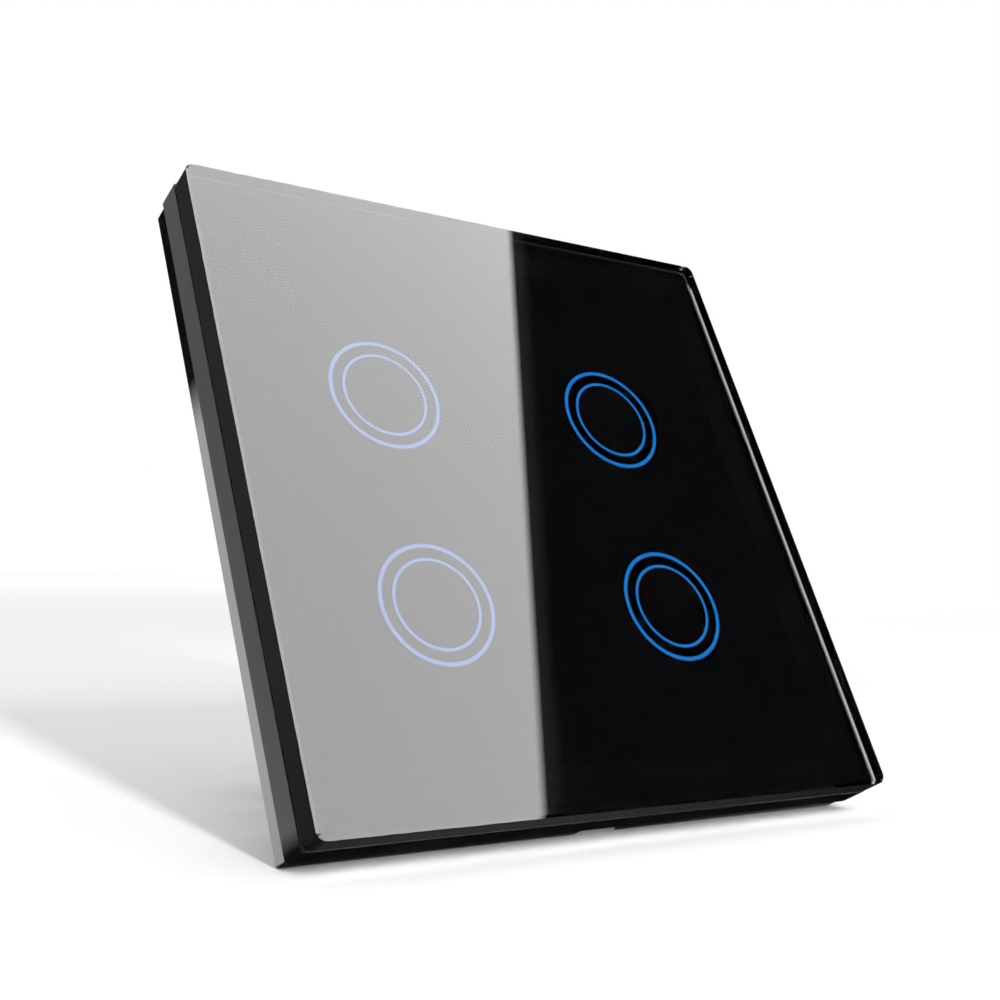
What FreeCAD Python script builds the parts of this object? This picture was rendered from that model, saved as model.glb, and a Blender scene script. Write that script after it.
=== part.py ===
import FreeCAD, Part
import math
import os
import Sketcher

# A four-button touch switch for a square wall box. Units are millimetres.
# +Z is up, +X is right seen from the front, and the front of the switch looks along -Y.
# The origin is the centre of the wall plane, which is the back of the rim (y = 0).

SIZES = {
    # The glass
    "plate_width": 86.0,
    "plate_height": 86.0,
    "glass_depth": 4.0,
    "glass_corner": 1.25,
    "glass_front_bevel": 0.25,
    "glass_rear_bevel": 0.4,
    # The dark film and the tape behind the glass
    "film_gap": 0.05,
    "film_depth": 0.1,
    "film_inset": 0.4,
    "tape_depth": 0.4,
    "tape_width": 4.5,
    "tape_inset": 1.9,
    # The moulded frame behind the glass
    "frame_inset": 0.1,
    "frame_corner": 0.3,
    "frame_depth": 4.0,
    "frame_wall": 1.4,
    "frame_ledge": 7.0,
    "web_depth": 1.0,
    "panel_gap": 0.1,
    # The clearance of small pieces that fit closely
    "fine_fit": 0.03,
    # The buttons, their rings and their light guides
    "button_pitch_x": 37.6,
    "button_pitch_z": 29.4,
    "button_drop": 0.4,
    "ring_depth": 2.2,
    "outer_ring_radius": 8.0,
    "outer_ring_line": 0.5,
    "inner_ring_radius": 6.1,
    "inner_ring_line": 0.38,
    "mask_depth": 0.4,
    "window_margin": 0.7,
    "guide_fit": 0.1,
    "flange_margin": 0.8,
    "flange_depth": 0.5,
    # The leaf clips that hold the panel
    "clip_x": 20.0,
    "clip_in": 5.2,
    "clip_width": 6.0,
    "clip_steel": 0.3,
    "clip_root": 1.6,
    "clip_bump": 0.8,
    "clip_fit": 0.06,
    "clip_end_gap": 0.12,
    "clip_window_fit": 0.3,
    # The base plate, its fixing holes and its tub
    "rim_inset": 0.4,
    "rim_depth": 2.5,
    "skin_depth": 1.0,
    "fixing_pitch": 60.3,
    "fixing_radius": 1.95,
    "countersink": 1.1,
    "island_margin_x": 4.85,
    "island_margin_z": 3.0,
    "rib_width": 1.0,
    "notch_width": 6.5,
    "notch_reach": 1.6,
    "tub_fit_x": 0.9,
    "tub_fit_z": 1.0,
    "tub_depth": 7.0,
    "tub_wall": 1.6,
    "tub_corner": 2.0,
    "lug_width": 10.5,
    "lug_reach": 4.15,
    "post_radius": 2.0,
    "post_in_x": 2.4,
    "post_in_z": 3.9,
    "shelf_reach": 1.0,
    # The light shade behind the panel
    "cover_gap": 0.3,
    "cover_depth": 1.0,
    "cover_fit": 0.2,
    "cover_lap": 0.8,
    "cover_step": 0.8,
    "tube_wall": 0.5,
    "tube_gap": 0.9,
    # The touch board and what is on it
    "touch_set_back": 4.0,
    "touch_board_depth": 1.2,
    "board_fit": 0.4,
    "spring_radius": 3.0,
    "spring_wire": 0.5,
    "spring_turns": 3.0,
    "spring_fit": 0.05,
    "led_length": 1.6,
    "led_width": 0.8,
    "led_height": 0.7,
    "touch_chip_side": 7.0,
    "touch_chip_height": 1.0,
    "touch_chip_left": 13.0,
    "wifi_left": 4.75,
    "wifi_width": 16.0,
    "wifi_length": 18.0,
    "wifi_depth": 0.8,
    "shield_margin": 1.5,
    "shield_height": 2.0,
    "antenna_length": 6.0,
    # The plug-in joint between the two boards
    "header_width": 20.3,
    "header_thick": 2.5,
    "header_from_post": 2.5,
    "pin_side": 0.64,
    "pin_pitch": 2.54,
    "pin_end_gap": 0.3,
    # The rear housing
    "housing_width": 50.0,
    "housing_depth": 31.0,
    "housing_wall": 1.6,
    "housing_bevel": 0.4,
    "vent_width": 1.4,
    "vent_length": 8.0,
    "vent_pitch": 4.0,
    "housing_screw_radius": 0.8,
    "housing_screw_head": 1.9,
    "housing_screw_head_depth": 1.3,
    "housing_screw_length": 6.5,
    "housing_screw_fit": 0.35,
    "cross_width": 0.5,
    "cross_reach": 1.3,
    "cross_depth": 0.5,
    # The power board and what is on it
    "power_set_back": 2.0,
    "power_board_depth": 1.6,
    "relay_width": 7.2,
    "relay_length": 20.5,
    "relay_height": 15.3,
    "relay_pitch": 8.2,
    "relay_wall": 0.5,
    "relay_base_depth": 1.4,
    "coil_radius": 2.3,
    "coil_height": 8.0,
    "coil_fit": 0.4,
    "core_radius": 0.9,
    "core_proud": 0.3,
    "yoke_steel": 0.8,
    "yoke_set_in": 0.8,
    "armature_gap": 0.3,
    "armature_steel": 0.7,
    "contact_blade": 0.3,
    "contact_half_width": 0.9,
    "contact_post": 0.6,
    "contact_button": 0.3,
    "contact_gap": 0.65,
    "contact_set_in": 2.3,
    "transformer_side": 11.5,
    "transformer_height": 13.0,
    "core_leg": 1.4,
    "core_window": 2.9,
    "capacitor_radius": 4.0,
    "capacitor_height": 12.0,
    "film_capacitor_width": 10.0,
    "film_capacitor_depth": 5.0,
    "film_capacitor_height": 11.0,
    "fuse_radius": 1.8,
    "fuse_length": 9.0,
    "varistor_radius": 3.5,
    "varistor_depth": 3.2,
    "rectifier_side": 4.4,
    "rectifier_height": 2.2,
    # The wire terminals
    "terminal_pitch": 7.0,
    "terminal_body_height": 12.2,
    "terminal_body_reach": 15.0,
    "entry_width": 4.8,
    "entry_height": 4.8,
    "entry_depth": 4.8,
    "cage_width": 5.0,
    "cage_length": 4.8,
    "cage_wall": 0.8,
    "cage_roof": 1.6,
    "cage_window": 5.2,
    "cage_travel": 2.5,
    "cage_fit": 0.2,
    "bar_depth": 0.8,
    "bar_width": 3.0,
    "bar_gap": 0.6,
    "screw_radius": 1.4,
    "screw_fit": 0.05,
    "screw_bevel": 0.35,
    "head_radius": 2.4,
    "head_depth": 1.8,
    "head_fit": 0.15,
    "head_seat": 0.7,
    "head_sink": 0.3,
    "drive_slot": 0.7,
    "drive_slot_depth": 0.9,
    "block_proud": 0.3,
    "block_fit": 0.25,
}
TERMINALS = 6
RELAYS = 4
HEADER_PINS = 8
VENTS = 7

# How far a cutting shape reaches past what it cuts
PAST = 1
# Points closer than this count as one
NEAR = 1e-4
# Places tried on each stretch of a spring's route when its gap to itself is measured
SAMPLES = 12

doc = FreeCAD.newDocument("smart_light_switch")
sheet = doc.addObject("Spreadsheet::Sheet", "sizes")
for row, (name, number) in enumerate(SIZES.items(), start=1):
    sheet.set("A%d" % row, name)
    sheet.set("B%d" % row, str(number))
    sheet.setAlias("B%d" % row, name)
doc.recompute()

nodes = []


class Length:
    """A size from the sheet, or one worked out from sizes: its number now and its expression."""

    def __init__(self, number, text):
        self.number = number
        self.text = text

    def __add__(self, other):
        other = length(other)
        return Length(self.number + other.number, "(%s + %s)" % (self.text, other.text))

    def __sub__(self, other):
        other = length(other)
        return Length(self.number - other.number, "(%s - %s)" % (self.text, other.text))

    def __rsub__(self, other):
        return length(other) - self

    def __mul__(self, factor):
        factor = length(factor)
        return Length(self.number * factor.number, "(%s * %s)" % (self.text, factor.text))

    def __truediv__(self, factor):
        factor = length(factor)
        return Length(self.number / factor.number, "(%s / %s)" % (self.text, factor.text))

    def __neg__(self):
        return Length(-self.number, "(0 - %s)" % self.text)

    __radd__ = __add__
    __rmul__ = __mul__


def length(value):
    """A plain number as a Length; a Length as it is."""
    if isinstance(value, Length):
        return value
    return Length(float(value), repr(float(value)))


class Sizes:
    """Every size of the sheet, by its name."""


size = Sizes()
for name, number in SIZES.items():
    setattr(size, name, Length(number, "sizes." + name))


# Planes square to Y, from the front of the switch to the back
RIM_FRONT = -size.rim_depth
FRAME_REAR = RIM_FRONT - size.panel_gap
GLASS_REAR = RIM_FRONT - size.frame_depth
GLASS_FRONT = GLASS_REAR - size.glass_depth
FILM_FRONT = GLASS_REAR + size.film_gap
FILM_REAR = FILM_FRONT + size.film_depth
FRAME_FRONT = FILM_REAR
TAPE_REAR = FRAME_FRONT + size.tape_depth
WEB_FRONT = GLASS_REAR + size.ring_depth
WEB_REAR = WEB_FRONT + size.web_depth
GUIDE_REAR = WEB_REAR + size.flange_depth
COVER_FRONT = GUIDE_REAR + size.cover_gap
COVER_REAR = COVER_FRONT + size.cover_depth
SKIN_REAR = RIM_FRONT + size.skin_depth
WALL = length(0)
TOUCH_FRONT = size.touch_set_back
TOUCH_REAR = TOUCH_FRONT + size.touch_board_depth
TUB_REAR = size.tub_depth
FLANGE_REAR = TUB_REAR + size.housing_wall
POWER_FRONT = TUB_REAR + size.power_set_back
POWER_REAR = POWER_FRONT + size.power_board_depth
HOUSING_REAR = size.housing_depth

# Half sizes and places shared by several pieces. The tub is as wide and as tall as the tubes
# round the buttons need, and steps in where the wall box's lugs take the fixing screws.
GLASS_X = size.plate_width / 2
GLASS_Z = size.plate_height / 2
FRAME_X = GLASS_X - size.frame_inset
FRAME_Z = GLASS_Z - size.frame_inset
RIM_X = GLASS_X - size.rim_inset
RIM_Z = GLASS_Z - size.rim_inset
CLIP_Z = FRAME_Z - size.clip_in
BUTTON_X = size.button_pitch_x / 2
BUTTON_Z = size.button_pitch_z / 2
WINDOW_RADIUS = size.outer_ring_radius + size.window_margin
GUIDE_RADIUS = WINDOW_RADIUS - size.guide_fit
FLANGE_RADIUS = WINDOW_RADIUS + size.flange_margin
TUBE_RADIUS = WINDOW_RADIUS + size.tube_wall
TUBE_REAR = TOUCH_FRONT - size.tube_gap
LOBE_RADIUS = TUBE_RADIUS + size.cover_fit + size.cover_lap
TUB_IN_X = BUTTON_X + TUBE_RADIUS + size.tub_fit_x
TUB_IN_Z = BUTTON_Z + TUBE_RADIUS + size.tub_fit_z
TUB_X = TUB_IN_X + size.tub_wall
TUB_Z = TUB_IN_Z + size.tub_wall
FIXING_X = size.fixing_pitch / 2
LUG_X = FIXING_X - size.lug_reach
LUG_Z = size.lug_width / 2
POST_X = TUB_X - size.post_in_x
POST_Z = TUB_Z - size.post_in_z
SHELF_Z = TUB_IN_Z - size.board_fit - size.shelf_reach
HOUSE_X = size.housing_width / 2
HOUSE_IN_X = HOUSE_X - size.housing_wall
HOUSE_IN_Z = TUB_Z - size.housing_wall
SUPPLY_Z = HOUSE_IN_Z - size.board_fit - size.transformer_side / 2
RELAY_TOP = HOUSE_IN_Z - size.transformer_side - size.board_fit * 2
RELAY_Z = RELAY_TOP - size.relay_length / 2
RELAY_LOW = RELAY_TOP - size.relay_length
BLOCK_X = size.terminal_pitch * TERMINALS / 2
BLOCK_LOW = -TUB_Z + size.block_proud
BLOCK_TOP = BLOCK_LOW + size.terminal_body_height
BLOCK_REAR = HOUSING_REAR - size.block_proud
BLOCK_FRONT = BLOCK_REAR - size.terminal_body_reach
HEAD_SEAT = BLOCK_REAR - size.head_depth - size.head_sink
CAGE_END = HEAD_SEAT - size.head_seat
CAGE_REAR = CAGE_END - size.cage_fit - size.cage_travel
CAGE_FRONT = CAGE_REAR - size.cage_roof - size.cage_window - size.cage_wall
BAR_REAR = CAGE_REAR - size.cage_roof - size.bar_gap
CAGE_LOW = BLOCK_LOW + size.entry_depth + size.cage_fit
CAGE_TOP = CAGE_LOW + size.cage_length
SCREW_Z = (CAGE_LOW + CAGE_TOP) / 2
ENTRY_FRONT = CAGE_FRONT + size.cage_wall - size.cage_fit


def bind(thing, place, rule):
    """Tie one value of an object to the sheet."""
    thing.setExpression(place, length(rule).text)


def new_body(label):
    """An empty body that becomes one piece of the switch."""
    body = doc.addObject("PartDesign::Body", label)
    body.Label = label
    body.AllowCompound = True
    nodes.append(body)
    return body


def sketch_on(body, role, offset=0):
    """A sketch on one of the body's own planes, moved along that plane's normal."""
    sketch = body.newObject("Sketcher::SketchObject", "sketch")
    plane = next(item for item in body.Origin.OriginFeatures if item.Role == role)
    sketch.AttachmentSupport = [(plane, "")]
    sketch.MapMode = "FlatFace"
    bind(sketch, "AttachmentOffset.Base.z", offset)
    return sketch


def place_point(sketch, edge, end, x, y):
    """Tie one end of an edge, or a circle's centre, to a place in the sketch."""
    for kind, axis, rule in (("DistanceX", -2, length(x)), ("DistanceY", -1, length(y))):
        if rule.text == "0.0":
            sketch.addConstraint(Sketcher.Constraint("PointOnObject", edge, end, axis))
        else:
            tie = sketch.addConstraint(Sketcher.Constraint(kind, -1, 1, edge, end, rule.number))
            bind(sketch, "Constraints[%d]" % tie, rule)


def outline(sketch, points):
    """A closed outline of straight edges through points that are tied to the sheet."""
    corners = [FreeCAD.Vector(length(x).number, length(y).number, 0) for x, y in points]
    first = sketch.GeometryCount
    for start, end in zip(corners, corners[1:] + corners[:1]):
        sketch.addGeometry(Part.LineSegment(start, end), False)
    for step, (x, y) in enumerate(points):
        following = first + (step + 1) % len(points)
        sketch.addConstraint(Sketcher.Constraint("Coincident", first + step, 2, following, 1))
        place_point(sketch, first + step, 1, x, y)


def rectangles(sketch, places):
    """Sharp rectangles, each (left, right, low, high)."""
    for x0, x1, z0, z1 in places:
        outline(sketch, [(x0, z0), (x1, z0), (x1, z1), (x0, z1)])


def rounded_rectangle(sketch, half_x, half_z, radius):
    """A rectangle about the origin whose corners are arcs."""
    across, along, bend = half_x.number, half_z.number, radius.number
    straight = (
        ((bend - across, -along), (across - bend, -along)),
        ((across, bend - along), (across, along - bend)),
        ((across - bend, along), (bend - across, along)),
        ((-across, along - bend), (-across, bend - along)),
    )
    centres = (
        (across - bend, bend - along),
        (across - bend, along - bend),
        (bend - across, along - bend),
        (bend - across, bend - along),
    )
    first = sketch.GeometryCount
    for turn in range(4):
        (xa, ya), (xb, yb) = straight[turn]
        edge = Part.LineSegment(FreeCAD.Vector(xa, ya, 0), FreeCAD.Vector(xb, yb, 0))
        sketch.addGeometry(edge, False)
        centre = FreeCAD.Vector(centres[turn][0], centres[turn][1], 0)
        circle = Part.Circle(centre, FreeCAD.Vector(0, 0, 1), bend)
        start = math.radians(90 * turn - 90)
        sketch.addGeometry(Part.ArcOfCircle(circle, start, start + math.pi / 2), False)
    for turn in range(4):
        line = first + 2 * turn
        arc = line + 1
        following = first + (2 * turn + 2) % 8
        sketch.addConstraint(Sketcher.Constraint("Tangent", line, 2, arc, 1))
        sketch.addConstraint(Sketcher.Constraint("Tangent", arc, 2, following, 1))
        kind = "Horizontal" if turn % 2 == 0 else "Vertical"
        sketch.addConstraint(Sketcher.Constraint(kind, line))
        if turn:
            sketch.addConstraint(Sketcher.Constraint("Equal", first + 1, arc))
    tie = sketch.addConstraint(Sketcher.Constraint("Radius", first + 1, bend))
    bind(sketch, "Constraints[%d]" % tie, radius)
    for kind, edge, rule in (
        ("DistanceY", first, -half_z),
        ("DistanceX", first + 2, half_x),
        ("DistanceY", first + 4, half_z),
        ("DistanceX", first + 6, -half_x),
    ):
        tie = sketch.addConstraint(Sketcher.Constraint(kind, -1, 1, edge, 1, rule.number))
        bind(sketch, "Constraints[%d]" % tie, rule)


def circles(sketch, centres, radius):
    """Equal circles at places tied to the sheet."""
    for x, z in centres:
        centre = FreeCAD.Vector(length(x).number, length(z).number, 0)
        circle = Part.Circle(centre, FreeCAD.Vector(0, 0, 1), radius.number)
        edge = sketch.addGeometry(circle, False)
        place_point(sketch, edge, 3, x, z)
        tie = sketch.addConstraint(Sketcher.Constraint("Radius", edge, radius.number))
        bind(sketch, "Constraints[%d]" % tie, radius)


def four_places(x, z):
    """The four mirror places of a point about the middle of the plate."""
    return [(x, z), (-x, z), (-x, -z), (x, -z)]


BUTTONS = [(x, z - size.button_drop) for x, z in four_places(BUTTON_X, BUTTON_Z)]


def about(places, half_x, half_z):
    """Equal rectangles centred on the places."""
    return [(x - half_x, x + half_x, z - half_z, z + half_z) for x, z in places]


def four_corners(x0, x1, z0, z1):
    """A rectangle at the right and top, and its three mirror images about the middle."""
    sides = [(x0, x1), (-x1, -x0)]
    ends = [(z0, z1), (-z1, -z0)]
    return [side + end for side in sides for end in ends]


def add(body, y0, y1, draw, *args):
    """Add to a body what draw() outlines, from depth y0 to depth y1."""
    sketch = sketch_on(body, "XZ_Plane", -y1)
    draw(sketch, *args)
    pad = body.newObject("PartDesign::Pad", "pad")
    pad.Profile = sketch
    bind(pad, "Length", y1 - y0)
    doc.recompute([sketch, pad])
    return pad


def cut(body, y0, y1, draw, *args):
    """Cut from a body what draw() outlines, from depth y0 back to depth y1."""
    before = body.Tip.Shape.Volume
    sketch = sketch_on(body, "XZ_Plane", -y0)
    draw(sketch, *args)
    pocket = body.newObject("PartDesign::Pocket", "pocket")
    pocket.Profile = sketch
    bind(pocket, "Length", y1 - y0)
    doc.recompute([sketch, pocket])
    if not pocket.Shape.Volume < before:
        raise RuntimeError("a pocket of %s cuts nothing" % body.Label)
    return pocket


def bevel(body, rule, wanted):
    """Chamfer the edges of a body whose ends all pass the test wanted(point)."""
    tip = body.Tip
    names = []
    for number, edge in enumerate(tip.Shape.Edges, start=1):
        middle = edge.valueAt((edge.FirstParameter + edge.LastParameter) / 2)
        if wanted(middle) and all(wanted(corner.Point) for corner in edge.Vertexes):
            names.append("Edge%d" % number)
    chamfer = body.newObject("PartDesign::Chamfer", "chamfer")
    chamfer.Base = (tip, names)
    bind(chamfer, "Size", rule)
    doc.recompute([chamfer])
    return chamfer


def at_depth(depth):
    """A test for points on one plane square to Y."""
    return lambda point: abs(point.y - depth.number) < NEAR


def turn(body, points):
    """A turned piece about the body's Y axis: points are (radius, depth)."""
    sketch = sketch_on(body, "XY_Plane")
    outline(sketch, points)
    revolution = body.newObject("PartDesign::Revolution", "revolution")
    revolution.Profile = sketch
    revolution.ReferenceAxis = (sketch, ["V_Axis"])
    revolution.Angle = 360
    doc.recompute([sketch, revolution])
    return revolution


def move(body, x, z):
    """Put a piece that is modelled about the Y axis in its place."""
    bind(body, "Placement.Base.x", x)
    bind(body, "Placement.Base.z", z)


def brick(x0, x1, y0, y1, z0, z1):
    """A box between six planes."""
    box = doc.addObject("Part::Box", "brick")
    for side, low, high in (("Length", x0, x1), ("Width", y0, y1), ("Height", z0, z1)):
        bind(box, side, length(high) - low)
    for axis, low in (("x", x0), ("y", y0), ("z", z0)):
        bind(box, "Placement.Base." + axis, low)
    return box


def rod(x, z, y0, y1, radius):
    """A round bar along Y."""
    bar = doc.addObject("Part::Cylinder", "rod")
    bar.Placement = FreeCAD.Placement(
        FreeCAD.Vector(), FreeCAD.Rotation(FreeCAD.Vector(1, 0, 0), -90)
    )
    bind(bar, "Radius", radius)
    bind(bar, "Height", length(y1) - y0)
    for axis, rule in (("x", x), ("y", y0), ("z", z)):
        bind(bar, "Placement.Base." + axis, rule)
    return bar


def bar_along(axis, x, y, z, reach, radius):
    """A round bar along X or Z, from its centre half its reach each way."""
    bar = doc.addObject("Part::Cylinder", "bar")
    if axis == "x":
        rotation = FreeCAD.Rotation(FreeCAD.Vector(0, 1, 0), 90)
        start = (length(x) - length(reach) / 2, y, z)
    else:
        rotation = FreeCAD.Rotation()
        start = (x, y, length(z) - length(reach) / 2)
    bar.Placement = FreeCAD.Placement(FreeCAD.Vector(), rotation)
    bind(bar, "Radius", radius)
    bind(bar, "Height", reach)
    for name, rule in zip("xyz", start):
        bind(bar, "Placement.Base." + name, rule)
    return bar


def fuse(pieces, label=None):
    """One object from several; separate solids stay separate."""
    if len(pieces) == 1:
        whole = pieces[0]
    else:
        whole = doc.addObject("Part::MultiFuse", "join")
        whole.Shapes = pieces
    if label:
        whole.Label = label
        nodes.append(whole)
    return whole


def carve(solid, tools, label=None):
    """A solid less its tools."""
    whole = doc.addObject("Part::Cut", "carved")
    whole.Base = solid
    whole.Tool = fuse(tools)
    if label:
        whole.Label = label
        nodes.append(whole)
    return whole


def mirrored(solid, normal):
    """The mirror image of a solid in a plane through the origin."""
    image = doc.addObject("Part::Mirroring", "mirrored")
    image.Source = solid
    image.Normal = normal
    return image


def four_ways(label, solid):
    """A solid with its mirror images left to right and top to bottom."""
    side = mirrored(solid, FreeCAD.Vector(1, 0, 0))
    below = [mirrored(item, FreeCAD.Vector(0, 0, 1)) for item in (solid, side)]
    return fuse([solid, side] + below, label)


def glass_panel():
    body = new_body("glass_panel")
    add(body, GLASS_FRONT, GLASS_REAR, rounded_rectangle, GLASS_X, GLASS_Z, size.glass_corner)
    bevel(body, size.glass_rear_bevel, at_depth(GLASS_REAR))
    bevel(body, size.glass_front_bevel, at_depth(GLASS_FRONT))


def smoked_film():
    body = new_body("smoked_film")
    half_x = GLASS_X - size.film_inset
    half_z = GLASS_Z - size.film_inset
    add(body, FILM_FRONT, FILM_REAR, rounded_rectangle, half_x, half_z, size.glass_corner)


def glass_tape():
    body = new_body("glass_tape")
    half_x = GLASS_X - size.tape_inset
    half_z = GLASS_Z - size.tape_inset
    add(body, FILM_REAR, TAPE_REAR, rounded_rectangle, half_x, half_z, size.glass_corner)
    inner_x = half_x - size.tape_width
    inner_z = half_z - size.tape_width
    cut(body, FILM_REAR, TAPE_REAR, rounded_rectangle, inner_x, inner_z, size.glass_corner)


def panel_frame():
    """A wall round the edge, a ledge for the tape and a thinner web with four round windows."""
    body = new_body("panel_frame")
    wall_x = FRAME_X - size.frame_wall
    wall_z = FRAME_Z - size.frame_wall
    well_x = wall_x - size.frame_ledge
    well_z = wall_z - size.frame_ledge
    add(body, FRAME_FRONT, FRAME_REAR, rounded_rectangle, FRAME_X, FRAME_Z, size.frame_corner)
    cut(body, FRAME_FRONT, TAPE_REAR, rounded_rectangle, wall_x, wall_z, size.glass_corner)
    cut(body, TAPE_REAR, WEB_FRONT, rounded_rectangle, well_x, well_z, size.frame_corner)
    cut(body, WEB_REAR, FRAME_REAR, rounded_rectangle, wall_x, wall_z, size.frame_corner)
    cut(body, WEB_FRONT, WEB_REAR, circles, BUTTONS, WINDOW_RADIUS)
    slot_x = size.clip_width / 2 + size.clip_fit
    slot_z = size.clip_steel / 2 + size.clip_fit
    slots = about(four_places(size.clip_x, CLIP_Z), slot_x, slot_z)
    cut(body, WEB_REAR - size.clip_root, WEB_REAR, rectangles, slots)


def ring_light_guides():
    """Clear turned guides: a flange, a disc and two lips whose faces are the rings."""
    lips_rear = WEB_FRONT + size.mask_depth
    outer_in = size.outer_ring_radius - size.outer_ring_line
    inner_in = size.inner_ring_radius - size.inner_ring_line
    profile = [
        (0, lips_rear),
        (inner_in, lips_rear),
        (inner_in, WEB_FRONT),
        (size.inner_ring_radius, WEB_FRONT),
        (size.inner_ring_radius, lips_rear),
        (outer_in, lips_rear),
        (outer_in, WEB_FRONT),
        (size.outer_ring_radius, WEB_FRONT),
        (size.outer_ring_radius, lips_rear),
        (GUIDE_RADIUS, lips_rear),
        (GUIDE_RADIUS, WEB_REAR),
        (FLANGE_RADIUS, WEB_REAR),
        (FLANGE_RADIUS, GUIDE_REAR),
        (0, GUIDE_REAR),
    ]
    for number, (x, z) in enumerate(BUTTONS, start=1):
        body = new_body("ring_light_guide_%d" % number)
        turn(body, profile)
        move(body, x, z)


def ring_masks():
    """Black discs and bands that fill the guide's front between its lips."""
    rear = WEB_FRONT + size.mask_depth
    outer_in = size.outer_ring_radius - size.outer_ring_line
    inner_in = size.inner_ring_radius - size.inner_ring_line
    body = new_body("ring_masks")
    add(body, WEB_FRONT, rear, circles, BUTTONS, GUIDE_RADIUS)
    cut(body, WEB_FRONT, rear, circles, BUTTONS, size.outer_ring_radius + size.fine_fit)
    add(body, WEB_FRONT, rear, circles, BUTTONS, outer_in - size.fine_fit)
    cut(body, WEB_FRONT, rear, circles, BUTTONS, size.inner_ring_radius + size.fine_fit)
    add(body, WEB_FRONT, rear, circles, BUTTONS, inner_in - size.fine_fit)


def panel_clips():
    """Four steel leaves, each rooted in a slot of the frame, with a bump behind the base's skin."""
    sketch = doc.addObject("Sketcher::SketchObject", "clip_outline")
    sketch.Placement = FreeCAD.Placement(
        FreeCAD.Vector(),
        FreeCAD.Rotation(FreeCAD.Vector(0, 1, 0), FreeCAD.Vector(0, 0, 1), FreeCAD.Vector(1, 0, 0)),
    )
    half = size.clip_steel / 2
    low = CLIP_Z - half
    high = CLIP_Z + half
    root = WEB_REAR - size.clip_root + size.clip_fit
    bump_start = SKIN_REAR + size.clip_fit
    bump_end = -size.clip_end_gap
    bump_middle = (bump_start + bump_end) / 2
    outline(
        sketch,
        [
            (root, low),
            (bump_start, low),
            (bump_middle, low + size.clip_bump),
            (bump_end, low),
            (bump_end, high),
            (bump_middle, high + size.clip_bump),
            (bump_start, high),
            (root, high),
        ],
    )
    leaf = doc.addObject("Part::Extrusion", "leaf")
    leaf.Base = sketch
    leaf.DirMode = "Custom"
    leaf.Dir = FreeCAD.Vector(1, 0, 0)
    leaf.Solid = True
    bind(leaf, "LengthFwd", size.clip_width)
    bind(leaf, "Placement.Base.x", size.clip_x - size.clip_width / 2)
    four_ways("panel_clips", leaf)


def mounting_base():
    """The rim against the wall, its cored back and the tub that takes the touch board."""
    body = new_body("mounting_base")
    add(body, RIM_FRONT, WALL, rounded_rectangle, RIM_X, RIM_Z, size.frame_corner)
    add(body, WALL, TUB_REAR, rounded_rectangle, TUB_X, TUB_Z, size.tub_corner)
    core_back(body)
    tub_hollow(body)
    cover_seat(body)
    fixing_holes(body)
    edge_cuts(body)


def core_back(body):
    """The back of the plate is cored between the rim and the island round the tub, and ribbed."""
    wall_x = RIM_X - size.frame_wall
    wall_z = RIM_Z - size.frame_wall
    island_x = FIXING_X + size.island_margin_x
    island_z = TUB_Z + size.island_margin_z
    half_rib = size.rib_width / 2
    bays = four_corners(half_rib, wall_x, island_z, wall_z)
    bays += four_corners(island_x, wall_x, half_rib, island_z - size.rib_width)
    cut(body, SKIN_REAR, WALL, rectangles, bays)


def tub_hollow(body):
    """The tub is hollow behind the plate and steps in at both sides for the wall box's lugs."""
    inner_lug_x = LUG_X - size.tub_wall
    inner_lug_z = LUG_Z + size.tub_wall
    cut(body, WALL, TUB_REAR, rectangles, lug_steps())
    cut(body, WALL, TUB_REAR, rectangles, [(-inner_lug_x, inner_lug_x, -TUB_IN_Z, TUB_IN_Z)])
    upper = (-TUB_IN_X, TUB_IN_X, inner_lug_z, TUB_IN_Z)
    lower = (-TUB_IN_X, TUB_IN_X, -TUB_IN_Z, -inner_lug_z)
    cut(body, WALL, TUB_REAR, rectangles, [upper, lower])
    add(body, WALL, TUB_REAR, circles, four_places(POST_X, POST_Z), size.post_radius)
    cut(body, WALL, TUB_REAR, circles, four_places(POST_X, POST_Z), size.housing_screw_radius)
    shelf_x = size.header_width / 2
    shelves = [(-shelf_x, shelf_x, SHELF_Z, TUB_Z), (-shelf_x, shelf_x, -TUB_Z, -SHELF_Z)]
    add(body, WALL, TOUCH_FRONT, rectangles, shelves)


def lug_steps():
    """The rectangles at both sides where the tub and the housing leave room for the box's lugs."""
    beyond = TUB_X + PAST
    return [(LUG_X, beyond, -LUG_Z, LUG_Z), (-beyond, -LUG_X, -LUG_Z, LUG_Z)]


def cover_seat(body):
    """A recess for the light shade, and the opening behind it."""
    seat_x = LUG_X - size.tub_wall
    seat_z = TUB_IN_Z - size.cover_step
    cut(body, RIM_FRONT, COVER_REAR, rectangles, [(-seat_x, seat_x, -seat_z, seat_z)])
    cut(body, RIM_FRONT, COVER_REAR, circles, BUTTONS, LOBE_RADIUS)
    open_x = seat_x - size.cover_lap
    open_z = seat_z - size.cover_lap
    cut(body, COVER_REAR, WALL, rectangles, [(-open_x, open_x, -open_z, open_z)])
    cut(body, COVER_REAR, WALL, circles, BUTTONS, TUBE_RADIUS + size.cover_fit)


def fixing_holes(body):
    """Two countersunk holes at the wall box's spacing."""
    cut(body, RIM_FRONT, WALL, circles, [(FIXING_X, 0), (-FIXING_X, 0)], size.fixing_radius)
    reach = size.fixing_radius.number + NEAR

    def on_hole(point):
        near = math.hypot(abs(point.x) - FIXING_X.number, point.z) < reach
        return near and abs(point.y - RIM_FRONT.number) < NEAR

    bevel(body, size.countersink, on_hole)


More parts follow.
